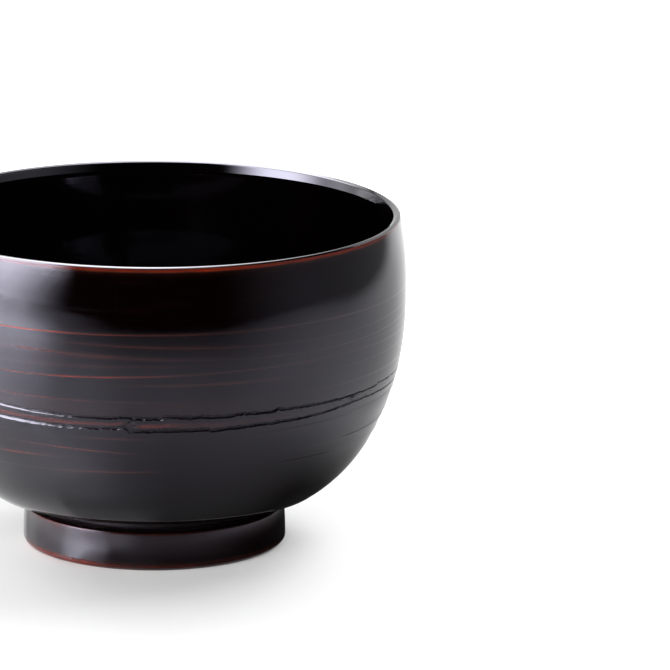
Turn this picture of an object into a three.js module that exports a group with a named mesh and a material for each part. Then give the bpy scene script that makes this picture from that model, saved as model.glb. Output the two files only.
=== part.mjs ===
// A soup bowl: one block of turned wood under a red undercoat and a brown-black top coat outside, with black coats
// inside and in the hollow of the foot. A pair of torn grooves runs round the wall.
// Millimetres, +Z up. The bowl stands on z = 0 and its lathe axis is Z.
import * as THREE from "three";

// Outside of the finished bowl.
const BOWL_HEIGHT = 80;
const BELLY_RADIUS = 60; // the widest ring of the wall
const BELLY_DROP = 19; // from the rim down to the widest ring
const RIM_RADIUS = 58.4;
const RIM_LEAN = THREE.MathUtils.degToRad(9); // the wall closes in by this at the rim
const HIP_RADIUS = 39.5; // where the flat underside turns up into the wall
const UNDERSIDE_SLOPE = THREE.MathUtils.degToRad(15);

// How far each end of the two wall curves keeps its direction.
const HIP_PULL = 3;
const LOWER_BELLY_PULL = 34;
const UPPER_BELLY_PULL = 7.5;
const RIM_PULL = 10;

// Foot ring, with an undercut between its sharp top edge and the bowl.
const FOOT_RADIUS = 31;
const FOOT_HEIGHT = 9.2;
const FOOT_FLARE = 0.4; // the foot is this much wider near the floor
const FOOT_EDGE = 1.4; // radius of the rounded bottom edge
const FOOT_WALL = 4.4; // width of the ring on the floor
const NECK_DEPTH = 4; // from the sharp edge in to the neck
const NECK_GAP = 1.5; // height of the undercut
const LEDGE_RISE = 0.4; // the top of the foot climbs this much towards the neck
const WELL_DEPTH = 6.5; // hollow under the bowl
const WELL_FILLET = 3;

// Wall of the finished bowl.
const WALL = 3.2; // from the foot up to the belly
const LIP_WALL = 1.8;
const LIP_BEVEL = 2; // height of the bevel inside the lip
const FLOOR = 7.4; // from the hollow of the foot up to the inside

// Coats, and the bare bands where the red undercoat shows.
const TOP_COAT = 0.25;
const UNDER_COAT = 0.25;
const BLACK_COAT = 0.25;
const BOND_GAP = 0.02; // clearance between a coat and what it lies on
const LIP_CAP = 0.6; // the black coat builds up on the lip
const RED_LINE = 0.4; // height of the bare undercoat below the lip
const RED_FOOT_BAND = 1.1; // height of the bare undercoat at the floor

// Pair of torn grooves in the wall.
const GROOVE_DROP = 16.6; // from the widest ring down to the upper groove
const GROOVE_SPACING = 3;
const GROOVE_WIDTH = 0.9;
const GROOVE_FLOOR = 0.35; // width at the bottom of the groove
const GROOVE_DEPTH = 0.55;
const GROOVE_MARGIN = 1.4; // plain wall kept on both sides of the pair
const TEAR_WANDER = 0.25; // how far the tear strays from a true ring
const TEARS = [
  { slow: 3, fast: 7, phase: 0.4 },
  { slow: 2, fast: 9, phase: 2.1 },
];

// Steps of the facets.
const FACETS = 40; // round the axis
const LOWER_STEPS = 5; // hip to the grooves
const MIDDLE_STEPS = 1; // grooves to the belly
const UPPER_STEPS = 3; // belly to the rim
const DISH_STEPS = 3; // the floor inside
const ROUND_STEPS = 2; // each small round
const SEARCH_STEPS = 40;

// Heights and radii that follow from the sizes above.
const BELLY_HEIGHT = BOWL_HEIGHT - BELLY_DROP;
const NECK_RADIUS = FOOT_RADIUS - NECK_DEPTH;
const NECK_HEIGHT = FOOT_HEIGHT + NECK_GAP;
const FLOOR_HEIGHT = WELL_DEPTH + FLOOR;
const BASE_RADIUS = FOOT_RADIUS + FOOT_FLARE;
const WELL_RADIUS = BASE_RADIUS - FOOT_EDGE - FOOT_WALL;
const CORE_TOP = BOWL_HEIGHT - LIP_CAP;
const SEAM_HEIGHT = CORE_TOP - RED_LINE;
const UNDER_DEPTH = TOP_COAT + BOND_GAP;
const CORE_DEPTH = UNDER_DEPTH + UNDER_COAT + BOND_GAP;
const BLACK_DEPTH = BLACK_COAT + BOND_GAP;

// A point of a profile: radius and height, and the groove that it strays with if it belongs to one.
function point(radius, height, groove = null) {
  return Object.assign(new THREE.Vector2(radius, height), { groove });
}

function along(angle, length) {
  return new THREE.Vector2(Math.cos(angle), Math.sin(angle)).multiplyScalar(length);
}

// Points of a round about a centre, both ends included.
function round(radius, height, size, from, to) {
  return Array.from({ length: ROUND_STEPS + 1 }, (_, i) => {
    const angle = THREE.MathUtils.lerp(from, to, i / ROUND_STEPS);
    return point(radius + size * Math.cos(angle), height + size * Math.sin(angle));
  });
}

// The two curves of the wall: hip to belly, then belly to rim. Both are upright at the belly.
const hip = point(HIP_RADIUS, NECK_HEIGHT + (HIP_RADIUS - NECK_RADIUS) * Math.tan(UNDERSIDE_SLOPE));
const belly = point(BELLY_RADIUS, BELLY_HEIGHT);
const rim = point(RIM_RADIUS, BOWL_HEIGHT);
const lowerWall = new THREE.CubicBezierCurve(
  hip,
  hip.clone().add(along(UNDERSIDE_SLOPE, HIP_PULL)),
  belly.clone().sub(along(Math.PI / 2, LOWER_BELLY_PULL)),
  belly,
);
const upperWall = new THREE.CubicBezierCurve(
  belly,
  belly.clone().add(along(Math.PI / 2, UPPER_BELLY_PULL)),
  rim.clone().sub(along(Math.PI / 2 + RIM_LEAN, RIM_PULL)),
  rim,
);

// Where on a wall curve a height is reached, found by halving the range.
function shareAtHeight(curve, height) {
  let low = 0;
  let high = 1;
  for (let i = 0; i < SEARCH_STEPS; i++) {
    const middle = (low + high) / 2;
    if (curve.getPoint(middle).y < height) low = middle;
    else high = middle;
  }
  return low;
}

// A curve's point and the direction square to it, pointing out of the wall.
function station(curve, share) {
  const tangent = curve.getTangent(share);
  return { at: curve.getPoint(share), out: new THREE.Vector2(tangent.y, -tangent.x) };
}

function stations(curve, from, to, steps) {
  return Array.from({ length: steps + 1 }, (_, i) => station(curve, THREE.MathUtils.lerp(from, to, i / steps)));
}

// The grooves from the top one down, each with its height and how much the wall widens there per millimetre of climb.
const grooves = TEARS.map((tear, i) => {
  const height = BELLY_HEIGHT - GROOVE_DROP - i * GROOVE_SPACING;
  const tangent = lowerWall.getTangent(shareAtHeight(lowerWall, height));
  return { ...tear, height, widening: tangent.x / tangent.y };
});
const grooveTop = grooves[0].height + GROOVE_WIDTH / 2 + GROOVE_MARGIN;
const grooveBottom = grooves.at(-1).height - GROOVE_WIDTH / 2 - GROOVE_MARGIN;
const belowGrooves = stations(lowerWall, 0, shareAtHeight(lowerWall, grooveBottom), LOWER_STEPS);
const aboveGrooves = stations(lowerWall, shareAtHeight(lowerWall, grooveTop), 1, MIDDLE_STEPS);
const aboveBelly = stations(upperWall, 0, 1, UPPER_STEPS).slice(1);
const wallStations = [...belowGrooves, ...aboveGrooves, ...aboveBelly];

// The four points of a groove from its lower lip to its upper lip.
function groovePoints(groove) {
  const halves = [-GROOVE_WIDTH, -GROOVE_FLOOR, GROOVE_FLOOR, GROOVE_WIDTH].map((width) => width / 2);
  return halves.map((half) => {
    const { at, out } = station(lowerWall, shareAtHeight(lowerWall, groove.height + half));
    const sunk = Math.abs(half) < GROOVE_WIDTH / 2 ? GROOVE_DEPTH : 0;
    return point(at.x - out.x * sunk, at.y - out.y * sunk, groove);
  });
}

const onWall = ({ at }) => point(at.x, at.y);

// The outside from the floor up to the rim.
const outside = [
  ...round(BASE_RADIUS - FOOT_EDGE, FOOT_EDGE, FOOT_EDGE, -Math.PI / 2, 0),
  point(FOOT_RADIUS, FOOT_HEIGHT),
  point(NECK_RADIUS + LEDGE_RISE, FOOT_HEIGHT + LEDGE_RISE),
  point(NECK_RADIUS, NECK_HEIGHT),
  ...belowGrooves.map(onWall),
  ...grooves.toReversed().flatMap(groovePoints),
  ...aboveGrooves.map(onWall),
  ...aboveBelly.map(onWall),
];

// The inside from the axis out and up to the crown of the lip. The wall thins from the belly to the lip.
function insidePoint({ at, out }) {
  const thinning = THREE.MathUtils.smoothstep(at.y, BELLY_HEIGHT, BOWL_HEIGHT - LIP_BEVEL);
  const wall = THREE.MathUtils.lerp(WALL, LIP_WALL, thinning);
  return point(at.x - out.x * wall, at.y - out.y * wall);
}

const insideWall = wallStations
  .map(insidePoint)
  .filter(({ y }) => y > FLOOR_HEIGHT + WALL / 2 && y < BOWL_HEIGHT - LIP_BEVEL);
const bevelFoot = insidePoint(station(upperWall, shareAtHeight(upperWall, BOWL_HEIGHT - LIP_BEVEL)));
const crown = point(RIM_RADIUS - LIP_CAP, BOWL_HEIGHT);
const bevel = new THREE.QuadraticBezierCurve(bevelFoot, point(bevelFoot.x, BOWL_HEIGHT), crown);
const dish = new THREE.QuadraticBezierCurve(
  point(0, FLOOR_HEIGHT),
  point(insideWall[0].x - (insideWall[0].y - FLOOR_HEIGHT) / Math.tan(UNDERSIDE_SLOPE), FLOOR_HEIGHT),
  insideWall[0],
);
const inside = [...dish.getPoints(DISH_STEPS), ...insideWall.slice(1), ...bevel.getPoints(ROUND_STEPS)];

// The hollow of the foot from the axis out and down to the floor.
const well = [
  point(0, WELL_DEPTH),
  ...round(WELL_RADIUS - WELL_FILLET, WELL_DEPTH - WELL_FILLET, WELL_FILLET, Math.PI / 2, 0),
  point(WELL_RADIUS, 0),
];

// A profile moved sideways, to its left where the distance is above zero, with its corners mitred.
// A point on the axis stays on it.
function moved(profile, distance) {
  const sides = profile.slice(1).map((end, i) => {
    const step = end.clone().sub(profile[i]).normalize();
    return new THREE.Vector2(-step.y, step.x);
  });
  return profile.map((p, i) => {
    const before = sides[Math.max(i - 1, 0)];
    const after = sides[Math.min(i, sides.length - 1)];
    const mitre = before.clone().add(after).multiplyScalar(distance / (1 + before.dot(after)));
    return point(p.x === 0 ? 0 : p.x + mitre.x, p.y + mitre.y, p.groove);
  });
}

// The point of a climbing profile at a height, on a straight run past its end where it ends short.
function cut(profile, height) {
  const above = profile.findIndex((p, i) => i > 0 && p.y > height);
  const end = above < 0 ? profile.length - 1 : above;
  const from = profile[end - 1];
  const to = profile[end];
  return point(THREE.MathUtils.mapLinear(height, from.y, to.y, from.x, to.x), height);
}

function upTo(profile, high) {
  return [...profile.filter((p) => p.y < high), cut(profile, high)];
}

function between(profile, low, high) {
  return [cut(profile, low), ...upTo(profile, high).filter((p) => p.y > low)];
}

// A closed ring between two climbing profiles, the outer one first.
function ring(outer, inner) {
  return [...outer, ...inner.toReversed(), outer[0]];
}

// A profile turned about Z. The points of a groove stray up and down the wall as it goes round the bowl.
function turned(name, profile, material) {
  const geometry = new THREE.LatheGeometry(profile, FACETS);
  geometry.rotateX(Math.PI / 2);
  const position = geometry.getAttribute("position");
  for (let i = 0; i < position.count; i++) {
    const { groove } = profile[i % profile.length];
    if (!groove) continue;
    const angle = Math.atan2(position.getY(i), position.getX(i));
    const waves = Math.sin(groove.slow * angle + groove.phase) + Math.sin(groove.fast * angle);
    const climb = (TEAR_WANDER * waves) / 2;
    const radius = Math.hypot(position.getX(i), position.getY(i)) + climb * groove.widening;
    position.setXYZ(i, radius * Math.cos(angle), radius * Math.sin(angle), position.getZ(i) + climb);
  }
  geometry.computeVertexNormals();
  const mesh = new THREE.Mesh(geometry, material);
  mesh.name = name;
  return mesh;
}

const wood = new THREE.MeshStandardMaterial({ color: 0xb58a5c, roughness: 0.7, metalness: 0 });
const redLacquer = new THREE.MeshStandardMaterial({ color: 0x7a2616, roughness: 0.3, metalness: 0 });
const brownLacquer = new THREE.MeshStandardMaterial({ color: 0x1a100e, roughness: 0.12, metalness: 0 });
const blackLacquer = new THREE.MeshStandardMaterial({ color: 0x0a0909, roughness: 0.1, metalness: 0 });
const wellLacquer = blackLacquer.clone();

const woodCore = turned(
  "wood_core",
  [
    ...moved(well, BLACK_DEPTH),
    ...between(moved(outside, CORE_DEPTH), 0, CORE_TOP),
    ...upTo(moved(inside, -BLACK_DEPTH), CORE_TOP).toReversed(),
  ],
  wood,
);

const redUndercoat = turned(
  "red_undercoat",
  ring(
    between(moved(outside, UNDER_DEPTH), 0, CORE_TOP),
    between(moved(outside, UNDER_DEPTH + UNDER_COAT), 0, CORE_TOP),
  ),
  redLacquer,
);

const outerTopcoat = turned(
  "outer_topcoat",
  ring(
    between(outside, RED_FOOT_BAND, SEAM_HEIGHT),
    between(moved(outside, TOP_COAT), RED_FOOT_BAND, SEAM_HEIGHT),
  ),
  brownLacquer,
);

const capFoot = CORE_TOP + BOND_GAP;
const innerTopcoat = turned(
  "inner_topcoat",
  [
    ...upTo(moved(inside, -BLACK_COAT), capFoot),
    cut(outside, capFoot),
    ...round(crown.x, capFoot, BOWL_HEIGHT - capFoot, 0, Math.PI / 2).slice(1, -1),
    ...inside.toReversed(),
  ],
  blackLacquer,
);

const footWellCoat = turned(
  "foot_well_coat",
  [...well, ...moved(well, BLACK_COAT).toReversed()],
  wellLacquer,
);

const bowl = new THREE.Group();
bowl.add(woodCore, redUndercoat, outerTopcoat, innerTopcoat, footWellCoat);

export default bowl;
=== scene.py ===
"""A turned and lacquered soup bowl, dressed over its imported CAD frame.

Every piece is a surface of revolution worked out with numpy. A row of its grid is a ring round the
lathe axis and a column is an azimuth, which is zero at the front (-Y) and grows to the right (+X).
A section is an array of (radius, height) points that runs anticlockwise round the solid, so that
its faces point outwards. Lengths are metres, and MM turns a length in millimetres into metres.
"""

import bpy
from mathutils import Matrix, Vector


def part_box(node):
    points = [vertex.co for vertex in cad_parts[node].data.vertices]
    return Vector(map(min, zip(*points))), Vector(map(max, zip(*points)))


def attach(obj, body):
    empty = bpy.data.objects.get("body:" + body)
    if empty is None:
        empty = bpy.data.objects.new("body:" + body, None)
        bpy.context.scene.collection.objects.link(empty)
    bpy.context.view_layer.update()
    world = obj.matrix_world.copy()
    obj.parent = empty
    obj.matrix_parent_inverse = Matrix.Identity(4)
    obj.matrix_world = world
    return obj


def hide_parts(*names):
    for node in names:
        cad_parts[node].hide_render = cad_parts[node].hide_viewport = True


bl_info = {
    "name": "Lacquered soup bowl",
    "version": (1, 0, 0),
    "blender": (4, 5, 0),
    "location": "3D View > Sidebar > Bowl",
    "description": "Builds the wood and the coats of a turned, lacquered soup bowl in a plain studio",
    "category": "Add Mesh",
}

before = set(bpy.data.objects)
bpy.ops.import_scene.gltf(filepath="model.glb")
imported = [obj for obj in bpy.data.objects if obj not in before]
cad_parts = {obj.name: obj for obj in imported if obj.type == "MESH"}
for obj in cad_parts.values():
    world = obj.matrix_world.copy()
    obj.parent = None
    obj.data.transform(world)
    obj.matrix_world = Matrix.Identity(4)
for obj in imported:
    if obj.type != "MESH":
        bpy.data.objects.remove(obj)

import math
from collections import namedtuple

import bpy
import numpy as np
from bpy.props import FloatProperty, FloatVectorProperty, IntProperty, PointerProperty
from bpy.types import Operator, Panel, PropertyGroup
from mathutils import Vector

MM = 0.001
DEGREE = math.pi / 180
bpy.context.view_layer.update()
OUTER_LOW, OUTER_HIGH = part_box("outer_topcoat")
CORE_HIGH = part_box("wood_core")[1]
INNER_LOW, INNER_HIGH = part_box("inner_topcoat")
HOLLOW_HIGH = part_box("foot_well_coat")[1]

# A ring left by the lathe and the brush. It strays up and down twice in a turn and is highest at
# its peak. Red shows where the coat is thin on it, most at one azimuth and over a run on both sides
# of it, in degrees, with a rest of it all round. That azimuth lies mostly on the left, so the red is
# partly real thin coat and partly painted light, brightest where the key light falls from the left.
# Half is half the red line's width, and the wall below steps in by the step.
RingMark = namedtuple("RingMark", "height stray peak red redmost run rest half step")
RING_MARKS = (
    RingMark(29.7 * MM, 0.9 * MM, 25 * DEGREE, 0.42, -15, 14, 0.1, 0.4 * MM, 0.09 * MM),
    RingMark(33.1 * MM, 0.9 * MM, 18 * DEGREE, 0.56, -36, 10, 0.05, 0.42 * MM, 0.1 * MM),
    RingMark(34.85 * MM, 1.4 * MM, -44 * DEGREE, 0.5, -21, 14, 0.03, 0.4 * MM, 0.11 * MM),
    RingMark(39.1 * MM, 0.4 * MM, 60 * DEGREE, 0.25, -11, 9, 0.1, 0.5 * MM, 0.1 * MM),
    RingMark(48.0 * MM, 0.15 * MM, -15 * DEGREE, 0.42, -34, 26, 0.1, 0.45 * MM, 0.01 * MM),
    RingMark(52.1 * MM, 0.2 * MM, 10 * DEGREE, 0.2, 12, 18, 0.1, 0.5 * MM, 0.006 * MM),
    RingMark(54.4 * MM, 1.1 * MM, 41 * DEGREE, 0.64, -22, 18, 0.26, 0.38 * MM, 0.01 * MM),
    RingMark(56.6 * MM, 0.7 * MM, 30 * DEGREE, 0.2, -28, 26, 0.1, 0.6 * MM, 0.004 * MM),
    RingMark(58.75 * MM, 1.2 * MM, -48 * DEGREE, 0.32, -28, 24, 0.15, 0.75 * MM, 0.006 * MM),
    RingMark(61.35 * MM, 0.95 * MM, -40 * DEGREE, 0.2, -8, 26, 0.15, 0.55 * MM, 0.006 * MM),
    RingMark(64.3 * MM, 0.3 * MM, 35 * DEGREE, 0.95, -46, 35, 0.1, 0.42 * MM, 0.008 * MM),
)
MARK_ROWS = np.array((-1.8, -0.9, -0.5, -0.25, -0.1, 0, 0.25, 0.5, 0.9)) * MM
MARK_RUN = 1.8 * MM
MARK_EDGE = 0.12 * MM
MARK_SWELL = 0.9 * MM
SWELL_SHARE = 0.4

# A mark shows red once more on the far side, this many degrees on, over a longer run and less strongly.
FAR_TURN, FAR_RUN, FAR_RED = 175, 1.3, 0.8

# Rows stray with the rings between these two heights.
STILL_LOW = 20 * MM
STILL_HIGH = 70 * MM

# A tear jumps by its rise at an azimuth and runs back to the ring over its run of azimuth. A swell
# lifts the ring smoothly over its run on both sides.
Tear = namedtuple("Tear", "azimuth rise run")
UPPER_TEARS = (
    Tear(-8, 0.42, 8), Tear(1.8, 0.5, 12), Tear(19, 0.4, 6), Tear(28.7, 0.55, 5),
    Tear(64, 0.5, 9), Tear(101, 0.4, 10), Tear(131, 0.5, 8), Tear(172, 0.35, 12), Tear(205, 0.6, 9),
    Tear(243, 0.4, 10), Tear(281, 0.55, 8), Tear(305, 0.4, 10),
)
UPPER_SWELLS = (Tear(-46, 0.95, 15), Tear(118, 0.6, 16))
LOWER_TEARS = (
    Tear(-6, -0.75, 5), Tear(13, -0.5, 7), Tear(92, 0.4, 9), Tear(126, -0.4, 8),
    Tear(158, 0.45, 10), Tear(196, -0.5, 7), Tear(231, 0.4, 9), Tear(268, -0.45, 9), Tear(299, 0.4, 7),
)
LOWER_SWELLS = (
    Tear(-46, 0.5, 15), Tear(-11, 0.3, 6), Tear(-7, 0.4, 1.6), Tear(9, -0.3, 9), Tear(56, 1.0, 12),
    Tear(76, 0.6, 13), Tear(214, 0.8, 13),
)
GROOVE_SIDE = np.array((0.11, 0.22, 0.32, 0.41, 0.5, 0.62, 0.8, 1.05)) * MM
GROOVE_ROWS = np.concatenate((-GROOVE_SIDE[::-1], [0], GROOVE_SIDE))

# A chip is torn out of the band above the lower groove, and a rough stretch lies between the grooves.
Chip = namedtuple("Chip", "start apex end height depth")
CHIPS = (Chip(-8.0, -5.4, -3.6, 2.1 * MM, 0.4 * MM), Chip(148, 151, 152.6, 1.7 * MM, 0.25 * MM))
CHIP_EDGE, CHIP_MATT, CHIP_BARE = 0.18 * MM, 0.6, 0.85
RoughStretch = namedtuple("RoughStretch", "azimuth run depth")
ROUGH_STRETCHES = (RoughStretch(54, 11, 0.07 * MM), RoughStretch(213, 13, 0.07 * MM))
ROUGH_EDGE, ROUGH_MATT = 0.5 * MM, 0.5

# A groove counts as wholly torn from this share of its depth on. The layers below lie in behind the
# grooves and the marks, from below the lowest mark to above the upper groove, and ease off at both ends.
TORN_SHARE = 0.35
BED_BELOW, BED_ABOVE, BED_EASE = 2 * MM, 1.9 * MM, 3 * MM

# The brown coat is thin in a line between the grooves, in a band from them up to a mark, and at the rim.
# Along the ring the line and the band are reddest on the left, which is partly painted light.
LINE_RISE, LINE_HALF, LINE_EASE, LINE_RED = 1.1 * MM, 0.72 * MM, 0.6 * MM, 0.5
BAND_MARK = RING_MARKS[4]
BAND_HALF, BAND_EASE, BAND_THIN = 2 * MM, 1 * MM, 0.1
RIM_LINE, RIM_LINE_RED = 0.35 * MM, 0.5
RIM_FADE, RIM_FADE_RED = 0.6 * MM, 0.18

# A level round the ring is a base with bells on it. A bell adds its share round an azimuth over a run
# on both sides, in degrees.
Bell = namedtuple("Bell", "share azimuth run")
Level = namedtuple("Level", "base bells")
CALM = Level(1, (Bell(-0.92, -50, 24), Bell(-0.55, -16, 8), Bell(-0.5, 190, 30)))
GROOVE_SHOULDER = Level(0.65, (Bell(2, -50, 18), Bell(0.6, -31, 10), Bell(0.4, 200, 70)))
GROOVE_SIZE = Level(1, (Bell(-0.45, 70, 28),))
GROOVE_MATT = Level(1, (Bell(-1.4, -50, 18),))
STEP_RELIEF = Level(0.12, (Bell(3.4, 78, 32), Bell(1.2, 215, 60)))
# Painted light as well as real thin coat: the band's red is strongest round the left, where the key light
# falls, with an echo on the far side.
BAND_RED_AND_KEY_LIGHT = Level(0.06, (Bell(1, -28, 40), Bell(0.8, 150, 50)))
# Painted light as well as real wear: the foot is reddest round the left, where the key light falls, with
# an echo on the far side.
FOOT_WEAR_AND_KEY_LIGHT = Level(0.28, (Bell(0.9, -56, 32), Bell(0.7, 150, 50)))

# Waves that make a line uneven by a share, with whole numbers of waves round the ring in a range.
Waves = namedtuple("Waves", "share slowest fastest count")
STRAY_WAVES = Waves(0.05 * MM, 30, 120, 9)
EDGE_WAVES = Waves(0.18, 20, 170, 10)
TOOTH_WAVES = Waves(0.2, 150, 400, 12)
DEPTH_WAVES = Waves(0.15, 5, 60, 8)
STEP_WAVES = Waves(0.2, 2, 20, 8)
MARK_WAVES = Waves(0.15, 3, 50, 9)
LINE_WAVES = Waves(0.15, 4, 40, 9)
BAND_WAVES = Waves(0.2, 3, 30, 8)
RIM_WAVES = Waves(0.12, 3, 60, 9)
FOOT_WAVES = Waves(0.15, 3, 70, 9)

# Waves over rows and columns, with whole numbers of waves round the ring and radians to the metre up it.
GridWaves = namedtuple("GridWaves", "seed slowest fastest gentlest steepest count")
ROUGH_WAVES = GridWaves(41, 40, 190, 2000, 9000, 14)
HAND_WAVES = GridWaves(71, 2, 16, 100, 420, 12)
HAND_DEPTH = 0.005 * MM

# Rows of the brown coat: margins of the fine rows round the grooves, the pitch, and rows below the rim.
FINE_BELOW, FINE_ABOVE, ROW_GAP = 1.4 * MM, 2 * MM, 0.1 * MM
WALL_PITCH, GROOVE_PITCH = 1.7 * MM, 0.25 * MM
RIM_ROWS = np.array((2.4, 1.7, 1.2, 0.85, 0.6, 0.4, 0.22, 0.08, 0)) * MM
INNER_COLUMNS, HIDDEN_COLUMNS = 480, 240

# Rounds on the foot: on its arris, behind the ledge and in the neck. The neck is matt behind its start.
ARRIS_ROUND, LEDGE_ROUND, NECK_ROUND = 0.16 * MM, 0.35 * MM, 0.5 * MM
NECK_MATT, NECK_START, NECK_EASE, NECK_TOP = 1.6, 1.2 * MM, 1.5 * MM, 0.4 * MM

# How bare the red coat is under the lip, and how far up the wall's thickness the dish inside climbs.
RIM_BARE = 0.7
DISH_RISE = 0.6

# A square lamp, with its place and side in metres and its power in watts.
Lamp = namedtuple("Lamp", "name place side power")
LAMPS = (
    Lamp("front_lamp", (0, -0.9, 0.35), 0.5, 5.1),
    Lamp("front_left_lamp", (-0.45, -0.78, 0.35), 0.5, 5.8),
    Lamp("back_left_lamp", (-0.45, 0.78, 0.35), 0.5, 6.8),
    Lamp("left_lamp", (-0.69, 0.4, 0.6), 0.5, 1.7),
    Lamp("right_lamp", (0.6, 0.2, 0.8), 0.5, 4.1),
    Lamp("back_right_lamp", (0.4, 0.69, 0.6), 0.5, 5.6),
)
ROOM_COLOUR = (0.04, 0.04, 0.04, 1)

# The panels: the left one's first and last degree and its fine and whole height, and the top one's
# middle and half its width and depth, in metres.
KEY_START, KEY_END, KEY_FINE, KEY_TOP = -17, -152, 0.3, 1.8
TOP_MIDDLE, TOP_WIDTH, TOP_DEPTH = (-0.3, 0.42, 0.68), 0.52, 0.26

# The floor in metres: flat out to its end, then a sweep on a bend up to the backdrop's top.
FLOOR_FLAT, SWEEP_START, SWEEP_BEND, BACKDROP_TOP = 2.6, 3.0, 0.8, 3.0

# The sheet of painted shade and painted reflection, in metres: its inner edge, the ends of its fine
# and its coarse rings, and the gap after each. It lies a lift above the floor and stands up from a foot
# to its top.
VEIL_INNER, VEIL_FINE, VEIL_OUTER, VEIL_GAP = 0.0315, 0.14, 0.97, 0.01
VEIL_LIFT, VEIL_FOOT, VEIL_TOP = 0.4 * MM, 8 * MM, 0.82


def size(label, words, value):
    """A length that a user may change, in metres."""
    return FloatProperty(name=label, description=words, default=value, unit="LENGTH", precision=5)


def angle(label, words, degrees):
    """An angle that a user may change."""
    return FloatProperty(name=label, description=words, default=degrees * DEGREE, subtype="ANGLE")


def colour(label, words, value):
    """A linear colour that a user may change."""
    limits = {"size": 3, "min": 0, "max": 1}
    return FloatVectorProperty(name=label, description=words, default=value, subtype="COLOR", **limits)


def amount(label, words, value):
    """A plain number that a user may change."""
    return FloatProperty(name=label, description=words, default=value)


class BowlForm(PropertyGroup):
    """The turned shape of the bowl."""

    height: size("Height", "Floor to the crown of the lip", INNER_HIGH.z)
    belly_radius: size("Belly radius", "The widest ring of the wall", OUTER_HIGH.x)
    belly_drop: size("Belly drop", "Crown of the lip down to the widest ring", 19 * MM)
    rim_radius: size("Rim radius", "Outside of the wall at the crown's height", 58.4 * MM)
    rim_lean: angle("Rim lean", "How far the wall leans in at the rim", 9)
    hip_radius: size("Hip radius", "Where the underside turns up into the wall", 39.9 * MM)
    underside_slope: angle("Underside slope", "Climb of the underside from the neck to the hip", 13.2)
    hip_slope: angle("Hip slope", "Climb of the wall where it starts at the hip", 36)
    hip_pull: size("Hip pull", "Handle of the wall's curve at the hip", 2 * MM)
    lower_pull: size("Lower pull", "Handle of the wall's curve below the belly", 35.3 * MM)
    upper_pull: size("Upper pull", "Handle of the wall's curve above the belly", 7.5 * MM)
    rim_pull: size("Rim pull", "Handle of the wall's curve at the rim", 10 * MM)
    wall: size("Wall", "Thickness of the wall", 3.2 * MM)
    lip_wall: size("Lip wall", "Thickness of the wall at the lip", 2.5 * MM)
    lip_bevel: size("Lip bevel", "Height of the bevel inside the lip", 2.3 * MM)
    lip_cap: size("Lip cap", "Crown down to the sharp edge where the inner coat ends", 0.35 * MM)
    lip_crown: size("Lip crown", "Sharp edge of the lip in to its crown", 0.9 * MM)
    facet_width: size("Facet width", "Crown of the lip down its facet to the bevel", 0.85 * MM)
    facet_slope: angle("Facet slope", "Fall of the facet inwards from the crown", 24)
    brow_round: size("Brow round", "Reach of the round between the facet and the bevel", 0.2 * MM)
    foot_radius: size("Foot radius", "The sharp edge on top of the foot ring", 31 * MM)
    foot_height: size("Foot height", "Floor to the sharp edge of the foot ring", 9.2 * MM)
    foot_flare: size("Foot flare", "How much wider the foot ring is at the floor", 0.4 * MM)
    foot_edge: size("Foot edge", "Radius of the foot ring's outer edge on the floor", 1.4 * MM)
    foot_upright: size("Foot upright", "Height that the foot ring's upright start aims at", 6.2 * MM)
    neck_depth: size("Neck depth", "How deep the neck is cut in above the foot ring", 4 * MM)
    neck_gap: size("Neck gap", "Height of the neck's cut", 1.67 * MM)
    ledge_rise: size("Ledge rise", "Climb of the ledge on top of the foot ring", 0.4 * MM)
    hollow_fillet: size("Hollow fillet", "Round where the hollow's side meets its ceiling", 3 * MM)


class CoatForm(PropertyGroup):
    """The coats and the pair of torn grooves."""

    coat: size("Coat", "Thickness of each coat", 0.25 * MM)
    bond: size("Bond", "Gap that keeps touching meshes apart", 0.02 * MM)
    bare_red: size("Bare red inset", "How far the bare red lies below the brown coat", 0.04 * MM)
    red_line: size("Red line", "Height of the bare red line under the lip", 0.42 * MM)
    upper_groove: size("Upper groove", "Height of the upper groove", 44.12 * MM)
    lower_groove: size("Lower groove", "Height of the lower groove", 41.35 * MM)
    groove_width: size("Groove width", "Width of a groove", 0.8 * MM)
    groove_depth: size("Groove depth", "Depth of a groove", 0.45 * MM)
    groove_shoulder: size("Groove shoulder", "Width of a groove's sloping side", 0.24 * MM)
    groove_bed: size("Groove bed", "How far the layers below lie in behind the grooves", 0.62 * MM)
    columns: IntProperty(
        name="Columns",
        description="Columns round the bowl; the grooves have three times as many",
        default=360,
    )


class LacquerLook(PropertyGroup):
    """The colours and gloss of the finishes."""

    black: colour("Black", "Inner lacquer", (0.0008, 0.0007, 0.0008))
    brown_black: colour("Brown-black", "Outer lacquer at full thickness", (0.0009, 0.0002, 0.0002))
    brown: colour("Brown", "Outer lacquer where it begins to thin", (0.012, 0.0035, 0.0025))
    russet: colour("Russet", "Outer lacquer where it is half thin", (0.06, 0.009, 0.004))
    red: colour("Red", "The red coat below", (0.2, 0.014, 0.004))
    wood: colour("Wood", "Turned wood", (0.33, 0.17, 0.075))
    wood_grain: colour("Wood grain", "Dark lines in the wood", (0.15, 0.066, 0.026))
    tint: colour("Tint", "Tint of what polished lacquer mirrors", (0.83, 0.81, 1.0))
    gloss: amount("Gloss", "Roughness of polished lacquer", 0.07)


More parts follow.
